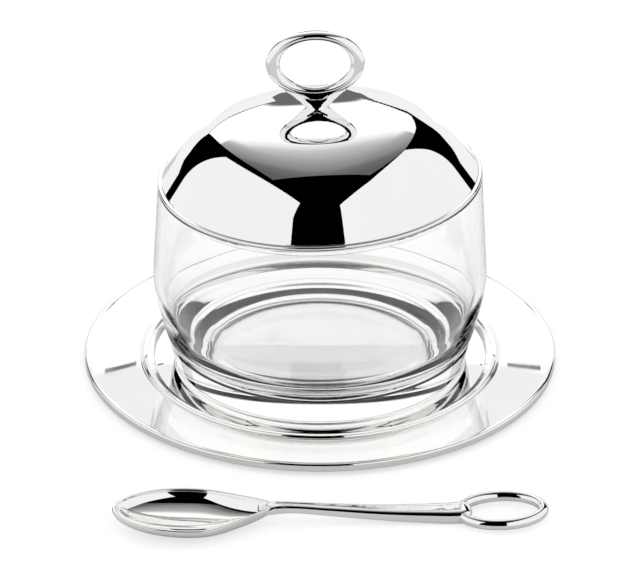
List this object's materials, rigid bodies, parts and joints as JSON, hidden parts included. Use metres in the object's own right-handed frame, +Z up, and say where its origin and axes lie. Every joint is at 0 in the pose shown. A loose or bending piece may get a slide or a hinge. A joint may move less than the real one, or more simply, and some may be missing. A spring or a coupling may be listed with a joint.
{
  "type": "covered serving jar",
  "caption": "Covered glass serving jar for marmalade on a round saucer, with a domed metal lid that lifts off, a ring handle, and a spoon with a wire ring end.",
  "frame": {"origin": "centre of the saucer's flat underside, on the jar's axis", "axes": "+Z up along the jar's axis, +X to the right, -Y to the front, where the spoon lies"},
  "size_m": [0.15, 0.1922, 0.1148],
  "materials": {
    "polished_silver": "mirror polished silver plate",
    "clear_glass": "clear, fire polished, rim ground flat",
    "screw_steel": "turned, plain"
  },
  "bodies": {
    "saucer": {"saucer_dish": "polished_silver", "saucer_locating_ring": "polished_silver", "saucer_rim_wire": "polished_silver"},
    "bowl": {"glass_bowl": "clear_glass"},
    "lid": {"lid_dome": "polished_silver", "lid_rim_wire": "polished_silver", "lid_collar": "polished_silver", "lid_handle": "polished_silver", "handle_washer": "screw_steel", "handle_screw": "screw_steel"},
    "spoon": {"spoon_body": "polished_silver", "spoon_ring": "polished_silver"}
  },
  "joints": [
    {"name": "bowl_lift", "type": "slide", "parent": "saucer", "child": "bowl", "axis": [0, 0, 1], "range_m": [0, 0.04]},
    {"name": "lid_lift", "type": "slide", "parent": "bowl", "child": "lid", "axis": [-0.0377, 0, 0.9993], "range_m": [0, 0.06]},
    {"name": "spoon_lift", "type": "slide", "parent": "saucer", "child": "spoon", "axis": [0, 0, 1], "range_m": [0, 0.04]}
  ]
}
